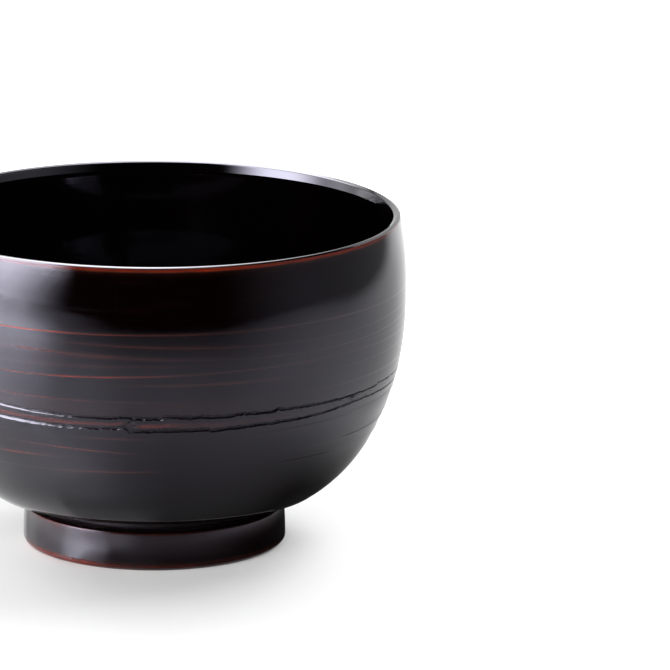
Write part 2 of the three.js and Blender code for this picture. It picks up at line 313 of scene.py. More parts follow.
class Studio(PropertyGroup):
    """The camera and the light."""

    view_distance: size("View distance", "Camera to the middle of the bowl", 1.7)
    view_elevation: angle("View elevation", "How far the camera looks down on the bowl", 14.05)
    frame_pixels: amount("Frame pixels", "Side of the square picture", 670)
    focal_pixels: amount("Focal length", "Focal length in pixels of the picture", 7114.3)
    aim_across: amount("Aim across", "Pixel column that shows the middle of the bowl", 154.5)
    aim_down: amount("Aim down", "Pixel row that shows the middle of the bowl", 375.3)
    floor_white: colour("Floor", "Colour of the floor", (0.8, 0.8, 0.8))
    key_glow: amount("Key glow", "Mirrored brightness of the large panel on the left", 27)
    top_glow: amount("Top glow", "Mirrored brightness of the panel above and behind", 15)
    floor_glow: amount("Floor glow", "Glow of the floor near the bowl, as a light table has", 0.15)
    table_gloss: amount("Table gloss", "Roughness of the table as the bowl mirrors it", 0.13)


class BowlSettings(PropertyGroup):
    """Everything that a user may change."""

    form: PointerProperty(name="Form", description="The turned shape", type=BowlForm)
    coats: PointerProperty(name="Coats", description="The coats and grooves", type=CoatForm)
    look: PointerProperty(name="Look", description="The finishes", type=LacquerLook)
    studio: PointerProperty(name="Studio", description="Camera and light", type=Studio)


def smooth(share):
    """A smooth step from 0 to 1: 3 s^2 - 2 s^3, held at its ends."""
    held = np.clip(share, 0, 1)
    return held * held * (3 - 2 * held)


def climb(value, start, run):
    """A smooth step up from 0 at a start to 1 a run further on."""
    return smooth((value - start) / run)


def fade(value, end, run):
    """A smooth step down from 1 a run before an end to 0 at the end."""
    return smooth((end - value) / run)


def bezier(points, shares):
    """A Bezier curve: each share mixes neighbouring control points until one point is left."""
    level = [np.asarray(point, float)[None, :] for point in points]
    mix = shares[:, None]
    while len(level) > 1:
        level = [(1 - mix) * one + mix * other for one, other in zip(level, level[1:])]
    return level[0]


def fillet(before, corner, after, reach, steps):
    """A corner rounded off: a quadratic curve between the points a reach away on both sides."""
    before, corner, after = (np.asarray(point, float) for point in (before, corner, after))
    start = corner + (before - corner) * reach / np.linalg.norm(before - corner)
    end = corner + (after - corner) * reach / np.linalg.norm(after - corner)
    return bezier((start, corner, end), np.linspace(0, 1, steps))


def straight(start, end, shares):
    """Points on the line from one point to another: start + share (end - start)."""
    return start + (end - start) * np.array(shares)[:, None]


def ragged(azimuth, seed, waves):
    """An uneven line round the ring: a share of a sum of sines with whole numbers of waves."""
    draw = np.random.default_rng(seed)
    turns = draw.integers(waves.slowest, waves.fastest, waves.count)[:, None]
    phases = draw.uniform(0, 2 * math.pi, waves.count)[:, None]
    total = np.sin(turns * azimuth[None, :] + phases).sum(axis=0)
    return waves.share * (total / math.sqrt(waves.count))


def grid_waves(rows, azimuth, waves):
    """An uneven surface: a sum of sines of the azimuth, the height and a phase, about -1 to 1."""
    draw = np.random.default_rng(waves.seed)
    total = np.zeros((len(rows), len(azimuth)))
    for _ in range(waves.count):
        along = draw.integers(waves.slowest, waves.fastest) * azimuth[None, :]
        up = draw.uniform(waves.gentlest, waves.steepest) * rows[:, None]
        total += np.sin(along + up + draw.uniform(0, 2 * math.pi)) / math.sqrt(waves.count)
    return total


def turn_from(azimuth, degrees):
    """The turn from an azimuth given in degrees round to each column, from 0 to a full turn."""
    return np.mod(azimuth - degrees * DEGREE, 2 * math.pi)


def near(azimuth, degrees, run):
    """A bell round the ring: exp(-(turn / run)^2), with the turn taken the short way."""
    turn = turn_from(azimuth, degrees)
    short = np.minimum(turn, 2 * math.pi - turn)
    return np.exp(-((short / (run * DEGREE)) ** 2))


def level_round(azimuth, level):
    """A level round the ring: its base and the sum of its bells."""
    return level.base + sum(bell.share * near(azimuth, bell.azimuth, bell.run) for bell in level.bells)


def torn_line(azimuth, tears, swells):
    """How far a torn ring strays: a tear jumps and dies away as exp(-turn / run), a swell is a bell."""
    stray = np.zeros_like(azimuth)
    for tear in tears:
        stray += tear.rise * MM * np.exp(-turn_from(azimuth, tear.azimuth) / (tear.run * DEGREE))
    for swell in swells:
        stray += swell.rise * MM * near(azimuth, swell.azimuth, swell.run)
    return stray


class Outline:
    """The outside of the bowl: foot, neck, and a wall of two Bezier curves, upright at the belly."""

    def __init__(self, form):
        self.form = form
        self.base = np.array((form.foot_radius + form.foot_flare, form.foot_edge))
        self.arris = np.array((form.foot_radius, form.foot_height))
        neck_radius = form.foot_radius - form.neck_depth
        self.ledge = np.array((neck_radius + form.ledge_rise, form.foot_height + form.ledge_rise))
        self.neck = np.array((neck_radius, form.foot_height + form.neck_gap))
        rise = (form.hip_radius - neck_radius) * math.tan(form.underside_slope)
        self.hip = np.array((form.hip_radius, self.neck[1] + rise))
        belly = np.array((form.belly_radius, form.height - form.belly_drop))
        rim = np.array((form.rim_radius, form.height))
        out = np.array((math.cos(form.hip_slope), math.sin(form.hip_slope)))
        back = np.array((math.sin(form.rim_lean), -math.cos(form.rim_lean)))
        up = np.array((0.0, 1.0))
        shares = np.linspace(0, 1, 801)
        below, above = belly - up * form.lower_pull, belly + up * form.upper_pull
        lower = bezier((self.hip, self.hip + out * form.hip_pull, below, belly), shares)
        upper = bezier((belly, above, rim + back * form.rim_pull, rim), shares)
        self.curve = np.concatenate((lower, upper[1:]))
        self.lean = np.gradient(self.curve[:, 0], self.curve[:, 1])

    def radius(self, height):
        """The wall's radius at heights from the hip to the rim."""
        return np.interp(height, self.curve[:, 1], self.curve[:, 0])

    def out(self, height):
        """The direction square to the wall, as its radial and upward shares."""
        lean = np.interp(height, self.curve[:, 1], self.lean)
        length = np.sqrt(1 + lean * lean)
        return 1 / length, -lean / length

    def foot_round(self, low, steps):
        """The round edge on the floor, from a height up to where the foot's side begins."""
        edge = self.form.foot_edge
        turn = np.linspace(-math.asin((edge - low) / edge), 0, steps)
        return np.stack((self.base[0] - edge + edge * np.cos(turn), edge + edge * np.sin(turn)), axis=1)

    def plain(self, wall_heights, bed=None):
        """The whole outside with plain corners, for the hidden layers. The bed sets the wall in."""
        radii = self.radius(wall_heights) - (0 if bed is None else bed(wall_heights))
        corners = np.stack((self.arris, self.ledge, self.neck))
        wall = np.stack((radii, wall_heights), axis=1)
        return np.concatenate((self.foot_round(0, 5), corners, wall))


def inset(section, distance):
    """A section moved inwards, each corner along its mitre: p - d (n1 + n2) / (1 + n1 . n2)."""
    step = np.diff(section, axis=0)
    step /= np.linalg.norm(step, axis=1)[:, None]
    side = np.stack((step[:, 1], -step[:, 0]), axis=1)
    before = np.concatenate((side[:1], side))
    after = np.concatenate((side, side[-1:]))
    share = 1 + (before * after).sum(axis=1)
    return section - distance * (before + after) / share[:, None]


def between(section, low, high):
    """The part of a climbing section between two heights, with its ends worked out on its sides."""
    inner = section[(section[:, 1] > low) & (section[:, 1] < high)]
    ends = np.interp((low, high), section[:, 1], section[:, 0])
    return np.concatenate(([[ends[0], low]], inner, [[ends[1], high]]))


def groove_bed(coats):
    """How far the hidden layers lie in behind the grooves and the steps below, eased at both ends."""
    start = RING_MARKS[0].height - BED_BELOW - BED_EASE
    end = coats.upper_groove + BED_ABOVE + BED_EASE

    def bed(heights):
        return coats.groove_bed * climb(heights, start, BED_EASE) * fade(heights, end, BED_EASE)

    return bed


def filled(knots, pitch):
    """Heights with more put in evenly wherever two neighbours lie further apart than the pitch."""
    spans = zip(knots[:-1], knots[1:])
    runs = [np.linspace(a, b, max(1, math.ceil((b - a) / pitch)), endpoint=False) for a, b in spans]
    return np.concatenate((*runs, knots[-1:]))


def ring_strays(coats, azimuth):
    """The rings that the rows follow, from the lowest up: heights, and strays by column."""
    still = np.zeros_like(azimuth)
    calm = level_round(azimuth, CALM)
    rings = [(mark.height, mark.stray * np.cos(2 * (azimuth - mark.peak))) for mark in RING_MARKS]
    upper = torn_line(azimuth, UPPER_TEARS, UPPER_SWELLS) + calm * ragged(azimuth, 11, STRAY_WAVES)
    lower = torn_line(azimuth, LOWER_TEARS, LOWER_SWELLS) + calm * ragged(azimuth, 12, STRAY_WAVES)
    rings += [(coats.upper_groove, upper), (coats.lower_groove, lower)]
    rings += [(STILL_LOW, still), (STILL_HIGH, still)]
    rings.sort(key=lambda ring: ring[0])
    return np.array([ring[0] for ring in rings]), np.stack([ring[1] for ring in rings])


def row_stray(coats, rows, azimuth):
    """How far each row strays in height: mixed straight between the two rings that it lies between."""
    heights, strays = ring_strays(coats, azimuth)
    above = np.clip(np.searchsorted(heights, rows), 1, len(heights) - 1)
    span = heights[above] - heights[above - 1]
    share = np.clip((rows - heights[above - 1]) / span, 0, 1)[:, None]
    return (1 - share) * strays[above - 1] + share * strays[above]


def groove_cut(coats, rows, azimuth):
    """How deep the grooves, the chips and the rough stretches cut, and how torn the surface is there.

    A groove is full within half its width and eases off over its shoulder. Its edges are ragged.
    """
    cut = np.zeros((len(rows), len(azimuth)))
    calm = level_round(azimuth, CALM)
    share = level_round(azimuth, GROOVE_SIZE)
    shoulder = coats.groove_shoulder * level_round(azimuth, GROOVE_SHOULDER)
    for seed, height in ((21, coats.upper_groove), (31, coats.lower_groove)):
        offset = (rows - height)[:, None]
        above = ragged(azimuth, seed, EDGE_WAVES) + ragged(azimuth, seed + 3, TOOTH_WAVES)
        below = ragged(azimuth, seed + 1, EDGE_WAVES) + ragged(azimuth, seed + 4, TOOTH_WAVES)
        half = coats.groove_width / 2 * share * np.where(offset > 0, 1 + calm * above, 1 + calm * below)
        depth = coats.groove_depth * share * (1 + calm * ragged(azimuth, seed + 2, DEPTH_WAVES))
        cut = np.maximum(cut, depth * fade(np.abs(offset), half, shoulder))
    matt = np.clip(level_round(azimuth, GROOVE_MATT), 0, 1)
    torn = smooth(cut / (TORN_SHARE * coats.groove_depth)) * matt
    above_lower = (rows - coats.lower_groove)[:, None]
    for chip in CHIPS:
        degrees = turn_from(azimuth, chip.start) / DEGREE
        rise = degrees / (chip.apex - chip.start)
        fall = (chip.end - chip.start - degrees) / (chip.end - chip.apex)
        reach = chip.height * np.minimum(rise, fall)
        flake = chip.depth * fade(above_lower, reach, CHIP_EDGE) * (above_lower > 0)
        torn = np.maximum(torn, CHIP_MATT * flake / chip.depth)
        cut = np.maximum(cut, flake)
    middle = (coats.upper_groove + coats.lower_groove) / 2
    room = (coats.upper_groove - coats.lower_groove) / 2
    band = fade(np.abs(rows - middle)[:, None], room, ROUGH_EDGE)
    waves = grid_waves(rows, azimuth, ROUGH_WAVES)
    for stretch in ROUGH_STRETCHES:
        patch = band * near(azimuth, stretch.azimuth, stretch.run)[None, :]
        cut = cut + stretch.depth * patch * waves
        torn = np.maximum(torn, ROUGH_MATT * patch)
    return cut, torn


def mark_cut(rows, azimuth):
    """How far the wall steps in below each ring mark: a step that dies away as exp(-distance / run).

    Above the mark the wall swells out to it. The steps are strongest on the right and on the far side.
    """
    cut = np.zeros((len(rows), len(azimuth)))
    relief = level_round(azimuth, STEP_RELIEF)
    for number, mark in enumerate(RING_MARKS):
        drop = mark.height - rows
        below = smooth(drop / MARK_EDGE) * np.exp(-np.maximum(drop, 0) / MARK_RUN)
        above = SWELL_SHARE * smooth(-drop / MARK_SWELL) * np.exp(-np.maximum(-drop, 0) / MARK_RUN)
        uneven = 1 + ragged(azimuth, 50 + number, STEP_WAVES)
        cut += (below + above)[:, None] * mark.step * relief * uneven
    return cut


def hand_cut(rows, azimuth):
    """The unevenness of a hand-rubbed surface: long waves, thousandths of a millimetre deep."""
    return HAND_DEPTH * (math.sqrt(HAND_WAVES.count) + grid_waves(rows, azimuth, HAND_WAVES))


def wall_grid(outline, coats, rows, azimuth):
    """The outer wall's points and how thin and how torn its coat is.

    A row strays in height with the rings, takes the outline's radius there, and is cut in square to
    the wall.
    """
    height = rows[:, None] + row_stray(coats, rows, azimuth)
    cut, torn = groove_cut(coats, rows, azimuth)
    cut = cut + mark_cut(rows, azimuth) + hand_cut(rows, azimuth)
    out, up = outline.out(height)
    radius = outline.radius(height) - cut * out
    return ring_points(radius, height - cut * up, azimuth), wall_thinness_and_key_light(coats, rows, azimuth), torn


def wall_thinness_and_key_light(coats, rows, azimuth):
    """How thin the brown coat is, from 0 to 1, with painted light: a peak on each mark, the grooves'
    bands, and the rim, the marks and the bands reddest round the left where the key light falls.
    """
    thin = np.zeros((len(rows), len(azimuth)))
    for number, mark in enumerate(RING_MARKS):
        line = np.clip(1 - np.abs(rows - mark.height) / mark.half, 0, 1)
        # Painted light as well as thin coat: each mark is reddest round its redmost azimuth, mostly on
        # the left where the key light falls.
        behind = near(azimuth, mark.redmost + FAR_TURN, FAR_RUN * mark.run)
        along = near(azimuth, mark.redmost, mark.run) + FAR_RED * behind
        uneven = 1 + ragged(azimuth, 80 + number, MARK_WAVES)
        thin = np.maximum(thin, mark.red * line[:, None] * (along + mark.rest) * uneven)
    line = fade(np.abs(rows - (coats.lower_groove + LINE_RISE)), LINE_HALF, LINE_EASE)
    # Painted light as well as thin coat: the band's red is strongest round the left, where the key light
    # falls.
    along = level_round(azimuth, BAND_RED_AND_KEY_LIGHT)
    for chip in CHIPS:
        along = along * (1 - CHIP_BARE * near(azimuth, chip.apex, (chip.end - chip.start) / 2))
    thin = np.maximum(thin, LINE_RED * line[:, None] * along * (1 + ragged(azimuth, 95, LINE_WAVES)))
    middle = (BAND_MARK.height + coats.upper_groove) / 2
    band = BAND_THIN * fade(np.abs(rows - middle), BAND_HALF, BAND_EASE)
    thin = np.maximum(thin, band[:, None] * along * (1 + ragged(azimuth, 96, BAND_WAVES)))
    below_rim = rows[-1] - rows
    rim = RIM_LINE_RED * np.exp(-((below_rim / RIM_LINE) ** 2))
    rim = np.where(rows > STILL_HIGH, rim + RIM_FADE_RED * np.exp(-below_rim / RIM_FADE), 0)
    thin = np.maximum(thin, rim[:, None] * (1 + ragged(azimuth, 97, RIM_WAVES)))
    return np.clip(thin, 0, 1)


def ring_points(radius, height, azimuth):
    """Rings of points, rows by columns by three: x = r sin(azimuth), y = -r cos(azimuth), z = height."""
    return np.stack((radius * np.sin(azimuth), -radius * np.cos(azimuth), height + 0 * azimuth), axis=-1)


def turned(section, azimuth):
    """A section carried round the lathe axis."""
    return ring_points(section[:, :1], section[:, 1:], azimuth)


def joined(lower, upper):
    """Faces between two rings of point numbers: quads for equal counts, triangles for three to one."""
    quads = np.zeros((0, 4), int)
    triangles = np.zeros((0, 3), int)
    if len(lower) == len(upper):
        quads = np.stack((lower, np.roll(lower, -1), np.roll(upper, -1), upper), axis=1)
        return quads, triangles
    coarse, fine = sorted((lower, upper), key=len)
    if len(fine) != 3 * len(coarse):
        raise ValueError("two rings have counts that don't fit")
    a, b = coarse, np.roll(coarse, -1)
    p, q, r, s = fine[0::3], fine[1::3], fine[2::3], np.roll(fine[0::3], -1)
    corners = ((a, q, p), (a, b, q), (b, r, q), (b, s, r))
    triangles = np.concatenate([np.stack(corner, axis=1) for corner in corners])
    return quads, triangles if fine is upper else triangles[:, ::-1]


def shell(blocks, poles=()):
    """Points and faces of stacked grids: each row joins the next, the last the first or two poles."""
    rings = []
    first = 0
    for block in blocks:
        numbers = first + np.arange(block.shape[0] * block.shape[1]).reshape(block.shape[:2])
        rings.extend(numbers)
        first += numbers.size
    pairs = list(zip(rings, rings[1:]))
    points = [block.reshape(-1, 3) for block in blocks]
    ends = []
    if poles:
        points.append(np.array([(0, 0, height) for height in poles]))
        start, stop = rings[0], rings[-1]
        ends.append(np.stack((np.full_like(start, first), np.roll(start, -1), start), axis=1))
        ends.append(np.stack((stop, np.roll(stop, -1), np.full_like(stop, first + 1)), axis=1))
    else:
        pairs.append((rings[-1], rings[0]))
    faces = [joined(lower, upper) for lower, upper in pairs]
    quads = np.concatenate([face[0] for face in faces])
    triangles = np.concatenate([face[1] for face in faces] + ends)
    return np.concatenate(points), quads, triangles


def put_mesh(name, points, quads, triangles, attributes=None, sharp=40 * DEGREE):
    """A new object at the origin with these points and faces, smooth except at sharp edges."""
    mesh = bpy.data.meshes.new(name)
    mesh.from_pydata(points.tolist(), [], quads.tolist() + triangles.tolist())
    mesh.polygons.foreach_set("use_smooth", np.ones(len(mesh.polygons), bool))
    for key, values in (attributes or {}).items():
        mesh.attributes.new(key, "FLOAT", "POINT").data.foreach_set("value", values.astype(np.float32))
    mesh.set_sharp_from_angle(angle=sharp)
    mesh.update()
    if mesh.validate():
        raise RuntimeError(f"{name} has faces that can't be right")
    piece = bpy.data.objects.new(name, mesh)
    bpy.context.scene.collection.objects.link(piece)
    return piece


def settle(piece, node, material):
    """The piece takes its material, rides on the bowl and stands for its CAD node."""
    piece.data.materials.append(material)
    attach(piece, "root")
    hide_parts(node)


def columns_round(count):
    """The azimuths of a ring's columns."""
    return np.linspace(0, 2 * math.pi, count, endpoint=False)


def foot_rows(outline, low):
    """The brown coat's rows from its edge on the foot, over the arris and the neck, to the hip."""
    bend = (outline.base[0], outline.form.foot_upright)
    shares = np.array((0.1, 0.25, 0.4, 0.55, 0.7, 0.82, 0.9, 0.95))
    side = bezier((outline.base, bend, outline.arris), shares)
    edge = fillet(side[-1], outline.arris, outline.ledge, ARRIS_ROUND, 6)
    ledge = straight(outline.arris, outline.ledge, (0.12, 0.25, 0.5, 0.75))
    corner = fillet(outline.arris, outline.ledge, outline.neck, LEDGE_ROUND, 5)
    throat = fillet(outline.ledge, outline.neck, outline.hip, NECK_ROUND, 6)
    under = straight(outline.neck, outline.hip, (0.1, 0.25, 0.45, 0.65, 0.85))
    return np.concatenate((outline.foot_round(low, 4), side, edge, ledge, corner, throat, under))


def foot_thinness_and_key_light(outline, section, azimuth):
    """How thin the coat is on the foot, with painted light: most on the arris and at the floor, each
    share dying away, and reddest round the left where the key light falls.

    The lengths over which the shares die away are millimetres.
    """
    below = (outline.arris[1] - section[:, 1]) / MM
    inwards = (outline.arris[0] - section[:, 0]) / MM
    above_floor = (section[:, 1] - section[0, 1]) / MM
    on_side = (section[:, 1] <= outline.arris[1]) & (inwards < 0.2)
    side = 0.5 * np.exp(-below / 0.35) + 0.24 * np.exp(-below / 3.2)
    ledge = 0.6 * np.exp(-inwards / 0.35) + 0.04
    floor = 0.8 * np.exp(-((above_floor / 0.5) ** 2)) + 0.06 * np.exp(-above_floor / 1.5)
    thin = np.where(on_side, np.maximum(side, floor), ledge * (section[:, 1] < outline.neck[1]))
    uneven = 1 + ragged(azimuth, 98, FOOT_WAVES)
    return np.clip(thin[:, None] * level_round(azimuth, FOOT_WEAR_AND_KEY_LIGHT) * uneven, 0, 1)


def build_outer_coat(settings):
    """The brown coat: foot and wall with the torn grooves outside, and its plain inner face."""
    form, coats = settings.form, settings.coats
    outline = Outline(form)
    coarse = columns_round(coats.columns)
    fine = columns_round(3 * coats.columns)
    low, seam = OUTER_LOW.z, form.height - form.lip_cap - coats.red_line
    foot = foot_rows(outline, low)
    band_low, band_high = coats.lower_groove - FINE_BELOW, coats.upper_groove + FINE_ABOVE
    marks = np.concatenate([mark.height + MARK_ROWS for mark in RING_MARKS])
    below = np.sort(marks[marks < band_low - ROW_GAP])
    above = np.sort(marks[marks > band_high + ROW_GAP])
    lower_rows = filled(np.concatenate(([outline.hip[1]], below, [band_low - ROW_GAP])), WALL_PITCH)
    upper_knots = np.concatenate(([band_high + 2 * ROW_GAP], above, seam - RIM_ROWS))
    upper_rows = filled(upper_knots, WALL_PITCH)
    groove_rows = np.concatenate((coats.lower_groove + GROOVE_ROWS, coats.upper_groove + GROOVE_ROWS))
    band_rows = filled(np.concatenate(([band_low], np.sort(groove_rows), [band_high])), GROOVE_PITCH)
    hidden = np.linspace(outline.hip[1], form.height, 22)
    inner = between(inset(outline.plain(hidden, groove_bed(coats)), coats.coat), low, seam)[::-1]
    blocks = [turned(foot, coarse)]
    thins = [foot_thinness_and_key_light(outline, foot, coarse)]
    neck = NECK_MATT * fade(foot[:, 0], outline.arris[0] - NECK_START, NECK_EASE)
    neck = neck * (foot[:, 1] < outline.neck[1] + NECK_TOP)
    torns = [np.repeat(neck[:, None], len(coarse), axis=1)]
    for rows, azimuth in ((lower_rows, coarse), (band_rows, fine), (upper_rows, coarse)):
        points, thin, torn = wall_grid(outline, coats, rows, azimuth)
        blocks.append(points)
        thins.append(thin)
        torns.append(torn)
    blocks.append(turned(inner, coarse))
    thins.append(np.zeros((len(inner), len(coarse))))
    torns.append(np.zeros((len(inner), len(coarse))))
    values = {
        "thin": np.concatenate([thin.ravel() for thin in thins]),
        "torn": np.concatenate([torn.ravel() for torn in torns]),
    }
    piece = put_mesh("outer_lacquer", *shell(blocks), values)
    settle(piece, "outer_topcoat", brown_lacquer(settings.look))


def build_red_coat(settings):
    """The red coat below the brown one, flush where it is bare on the foot and under the lip."""
    form, coats = settings.form, settings.coats
    outline = Outline(form)
    heights = np.linspace(outline.hip[1], form.height, 40)
    outside = outline.plain(heights, groove_bed(coats))
    under = coats.coat + coats.bond
    low, top = OUTER_LOW.z - coats.bond, form.height - form.lip_cap
    seam = top - coats.red_line + coats.bond
    round_edge = np.concatenate((outline.foot_round(0, 9), outline.arris[None, :]))
    flush_foot = between(inset(round_edge, coats.bare_red), 0, low)
    rim = outline.plain(np.linspace(STILL_HIGH, form.height, 30))
    flush_rim = between(inset(rim, coats.bare_red), seam, top)
    hidden = between(inset(outside, under), low, seam)
    inner = between(inset(outside, under + coats.coat), 0, top)[::-1]
    section = np.concatenate((flush_foot, hidden, flush_rim, inner))
    azimuth = columns_round(coats.columns)
    on_foot = (section[:, 1] < form.foot_height)[:, None]
    # On the foot the bare share is partly real wear and partly painted light, reddest round the left
    # where the key light falls.
    bare = np.where(on_foot, level_round(azimuth, FOOT_WEAR_AND_KEY_LIGHT), RIM_BARE)
    values = {"bare": np.clip(bare, 0, 1).ravel()}
    piece = put_mesh("red_coat", *shell([turned(section, azimuth)]), values)
    settle(piece, "red_undercoat", red_lacquer(settings.look))


def inside_section(settings, outline):
    """The inside of the bowl, from the axis out and up: dish, wall, bevel, facet and the lip's cap."""
    form = settings.form
    heights = np.linspace(outline.hip[1], form.height, 400)
    out, up = outline.out(heights)
    bevel_foot = form.height - form.lip_bevel
    thinning = climb(heights, form.height - form.belly_drop, form.belly_drop - form.lip_bevel)
    wall = form.wall + (form.lip_wall - form.wall) * thinning
    side = np.stack((outline.radius(heights) - wall * out, heights - wall * up), axis=1)
    floor = INNER_LOW.z + settings.coats.coat
    side = between(side, floor + form.wall * DISH_RISE, bevel_foot)
    even = np.linspace(side[0, 1], bevel_foot, 60)
    side = np.stack((np.interp(even, side[:, 1], side[:, 0]), even), axis=1)
    run = (side[0, 1] - floor) / math.tan(form.underside_slope)
    dish = bezier(((0, floor), (side[0, 0] - run, floor), side[0]), np.linspace(0, 1, 24))
    cap_foot = form.height - form.lip_cap + settings.coats.bond
    end = np.array((outline.radius(cap_foot), cap_foot))
    crown = np.array((end[0] - form.lip_crown, form.height))
    fall = np.array((math.cos(form.facet_slope), math.sin(form.facet_slope)))
    brow = fillet(side[-1], crown - fall * form.facet_width, crown, form.brow_round, 7)
    bevel = bezier((side[-1], brow[0]), np.linspace(0, 1, 10))
    facet = bezier((brow[-1], crown), np.linspace(0, 1, 6))
    over = np.array(((crown[0] + end[0]) / 2, form.height))
    cap = bezier((crown, over, end), np.linspace(0, 1, 10))
    return np.concatenate((dish[:-1], side[:-1], bevel[:-1], brow[:-1], facet, cap[1:]))


def behind_inside(seen, distance, lid):
    """A plain face behind the inside: set back from it, below a lid, and no further than the crown."""
    behind = inset(seen, -distance)
    return behind[(behind[:, 1] < lid) & (np.arange(len(behind)) < np.argmax(seen[:, 1]))]


def hollow_round(radius, ceiling, reach, steps):
    """The round between a hollow's ceiling and its side: a quarter of a circle, from the ceiling down."""
    turn = np.linspace(math.pi / 2, 0, steps)
    bend = np.stack((np.cos(turn), np.sin(turn)), axis=1)
    return np.array((radius - reach, ceiling - reach)) + bend * reach


def build_inner_coat(settings):
    """The black coat of the inside, turned over the lip: its seen face and a plain hidden one."""
    coats = settings.coats
    seen = inside_section(settings, Outline(settings.form))
    lid = seen[-1, 1]
    hidden = behind_inside(seen, coats.coat, lid)[1:]
    hidden = np.concatenate((hidden, [[hidden[-1, 0], lid]]))
    section = np.concatenate((hidden, seen[::-1][:-1]))
    poles = (seen[0, 1] - coats.coat, seen[0, 1])
    piece = put_mesh("inner_lacquer", *shell([turned(section, columns_round(INNER_COLUMNS))], poles))
    settle(piece, "inner_topcoat", black_lacquer(settings.look))


def build_hollow_coat(settings):
    """The black coat in the hollow of the foot: ceiling, round and side, and its hidden face."""
    form, coats = settings.form, settings.coats
    radius = HOLLOW_HIGH.x - coats.coat
    ceiling = HOLLOW_HIGH.z - coats.coat
    bend = hollow_round(radius, ceiling, form.hollow_fillet, 12)
    flat = np.stack((np.linspace(1 * MM, bend[0, 0], 14), np.full(14, ceiling)), axis=1)
    side = np.stack((np.full(6, radius), np.linspace(bend[-1, 1], 0, 6)), axis=1)
    seen = np.concatenate((flat[:-1], bend, side[1:]))
    hidden = inset(seen, coats.coat)[::-1]
    hidden[0, 1] = 0
    section = np.concatenate((seen, hidden))
    poles = (ceiling, HOLLOW_HIGH.z)
    piece = put_mesh("hollow_lacquer", *shell([turned(section, columns_round(HIDDEN_COLUMNS))], poles))
    settle(piece, "foot_well_coat", bpy.data.materials["black lacquer"])


def build_core(settings):
    """The turned wood: hollow, floor ring, outside under two coats, and inside under one."""
    form, coats = settings.form, settings.coats
    outline = Outline(form)
    heights = np.linspace(outline.hip[1], form.height, 40)
    outside = inset(outline.plain(heights, groove_bed(coats)), 2 * (coats.coat + coats.bond))
    outer = between(outside, 0, CORE_HIGH.z)
    gap = coats.coat + coats.bond
    seen = inside_section(settings, outline)
    inner = behind_inside(seen, gap, CORE_HIGH.z)[1::2]
    radius, ceiling = HOLLOW_HIGH.x + coats.bond, HOLLOW_HIGH.z + coats.bond
    bend = hollow_round(radius, ceiling, form.hollow_fillet + gap, 8)
    hollow = np.concatenate(([[2 * MM, ceiling]], bend, [[radius, 0]]))
    section = np.concatenate((hollow, outer, [[inner[-1, 0], CORE_HIGH.z]], inner[::-1]))
    poles = (ceiling, seen[0, 1] - gap)
    piece = put_mesh("turned_core", *shell([turned(section, columns_round(HIDDEN_COLUMNS))], poles))
    settle(piece, "wood_core", turned_wood(settings.look))


def add_node(tree, kind, settings=None, inputs=None):
    """A node with its settings, and its inputs set to values or linked from sockets."""
    node = tree.nodes.new(kind)
    for key, value in (settings or {}).items():
        setattr(node, key, value)
    for key, value in (inputs or {}).items():
        if isinstance(value, bpy.types.NodeSocket):
            tree.links.new(value, node.inputs[key])
        else:
            node.inputs[key].default_value = value
    return node


def add_math(tree, operation, first, second=0.0):
    """A Math node's result."""
    return add_node(tree, "ShaderNodeMath", {"operation": operation}, {0: first, 1: second}).outputs[0]


def add_ramp(tree, share, stops):
    """A colour ramp through stops of (place, colour)."""
    node = add_node(tree, "ShaderNodeValToRGB", inputs={"Fac": share})
    elements = node.color_ramp.elements
    while len(elements) < len(stops):
        elements.new(1.0)
    for element, (place, value) in zip(elements, stops):
        element.position = place
        element.color = (*value, 1)
    return node.outputs["Color"]


def add_range(tree, value, low, high, start, end):
    """A value moved from one range to another and held at its ends."""
    inputs = {"Value": value, "From Min": low, "From Max": high, "To Min": start, "To Max": end}
    return add_node(tree, "ShaderNodeMapRange", {"clamp": True}, inputs).outputs["Result"]


def add_attribute(tree, name):
    """The value of a piece's own attribute."""
    return add_node(tree, "ShaderNodeAttribute", {"attribute_name": name}).outputs["Fac"]


def add_bump(tree, height, strength, depth, normal=None):
    """A normal that follows a height, on top of another normal if one is given."""
    inputs = {"Height": height, "Strength": strength, "Distance": depth}
    if normal is not None:
        inputs["Normal"] = normal
    return add_node(tree, "ShaderNodeBump", inputs=inputs).outputs[0]


def new_finish(name, roughness):
    """A material with a Principled shader, its tree, and the piece's own coordinates."""
    material = bpy.data.materials.new(name)
    material.use_nodes = True
    tree = material.node_tree
    tree.nodes.clear()
    shader = add_node(tree, "ShaderNodeBsdfPrincipled", inputs={"Roughness": roughness, "IOR": 1.5})
    add_node(tree, "ShaderNodeOutputMaterial", inputs={"Surface": shader.outputs[0]})
    place = add_node(tree, "ShaderNodeTexCoord").outputs["Object"]
    return material, tree, shader, place


def new_lacquer(name, look):
    """A finish with the gloss and the tint of polished lacquer."""
    material, tree, shader, place = new_finish(name, look.gloss)
    shader.inputs["Specular Tint"].default_value = (*look.tint, 1)
    return material, tree, shader, place


def stretched(tree, place, scale):
    """Coordinates scaled apart, so that a pattern is drawn out along an axis."""
    return add_node(tree, "ShaderNodeMapping", inputs={"Vector": place, "Scale": scale}).outputs[0]


def add_noise(tree, place, scale, detail=3.0):
    """A noise from 0 to 1."""
    inputs = {"Vector": place, "Scale": scale, "Detail": detail}
    return add_node(tree, "ShaderNodeTexNoise", inputs=inputs).outputs["Fac"]


